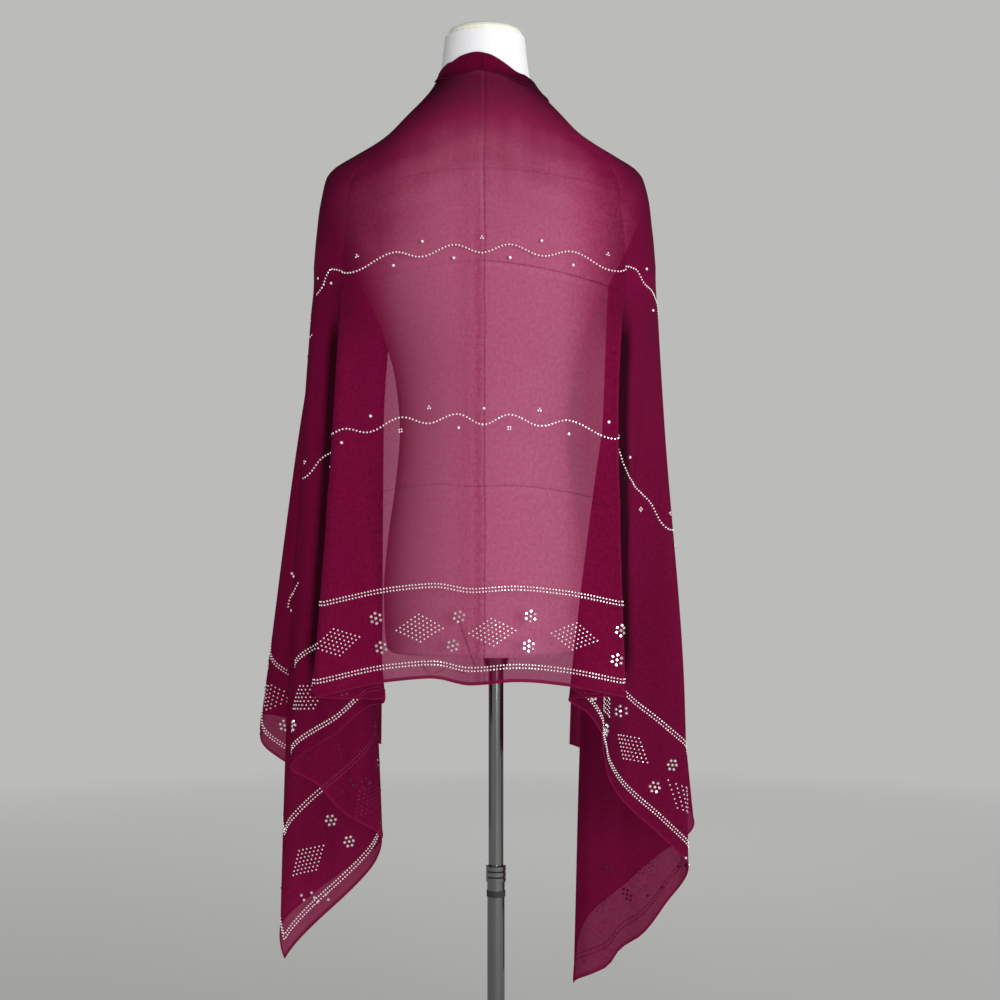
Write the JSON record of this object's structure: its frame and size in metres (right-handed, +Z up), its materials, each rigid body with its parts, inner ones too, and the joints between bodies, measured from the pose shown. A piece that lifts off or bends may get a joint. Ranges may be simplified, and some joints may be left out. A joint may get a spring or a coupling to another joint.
{
  "type": "chiffon hijab on a dress form",
  "caption": "Sheer rectangular head scarf with a rhinestone border, hung open over the shoulders of a limbless dress form on a height-adjustable stand.",
  "frame": {"origin": "centre of the stand's base, on the floor, on the pole's axis", "axes": "+Z up along the pole, -Y the back of the dress form, which the scarf covers, +Y its chest, +X to the right of someone who looks at the back"},
  "size_m": [0.5607, 0.3, 1.488],
  "materials": {
    "chiffon": "sheer matt wine-red chiffon",
    "white_jersey": "smooth white stretch jersey",
    "cream_plastic": "satin cream plastic",
    "chromed_steel": "bright chrome",
    "rubber": "matt black"
  },
  "bodies": {
    "stand": {"base_disc": "chromed_steel", "base_boss": "chromed_steel", "lower_tube": "chromed_steel", "collar_seal": "rubber", "grip_collar": "chromed_steel"},
    "rod": {"upper_rod": "chromed_steel"},
    "form": {"rod_socket": "chromed_steel", "torso": "white_jersey", "neck_cap": "cream_plastic", "neck_fold": "chiffon", "back_panel": "chiffon", "left_shoulder": "chiffon", "right_shoulder": "chiffon", "left_back_pleat": "chiffon", "left_side": "chiffon", "left_inner_pleat": "chiffon", "left_tail": "chiffon", "left_tail_back": "chiffon", "left_outer": "chiffon", "left_front": "chiffon", "right_back_pleat": "chiffon", "right_side": "chiffon", "right_tail": "chiffon", "right_tail_back": "chiffon", "right_front": "chiffon"}
  },
  "joints": [
    {"name": "height_slide", "type": "slide", "parent": "stand", "child": "rod", "axis": [0, 0, 1], "range_m": [-0.1, 0.15]},
    {"name": "form_swivel", "type": "hinge", "parent": "rod", "child": "form", "pos_m": [0, 0, 0.7], "axis": [0, 0, 1], "continuous": true}
  ]
}
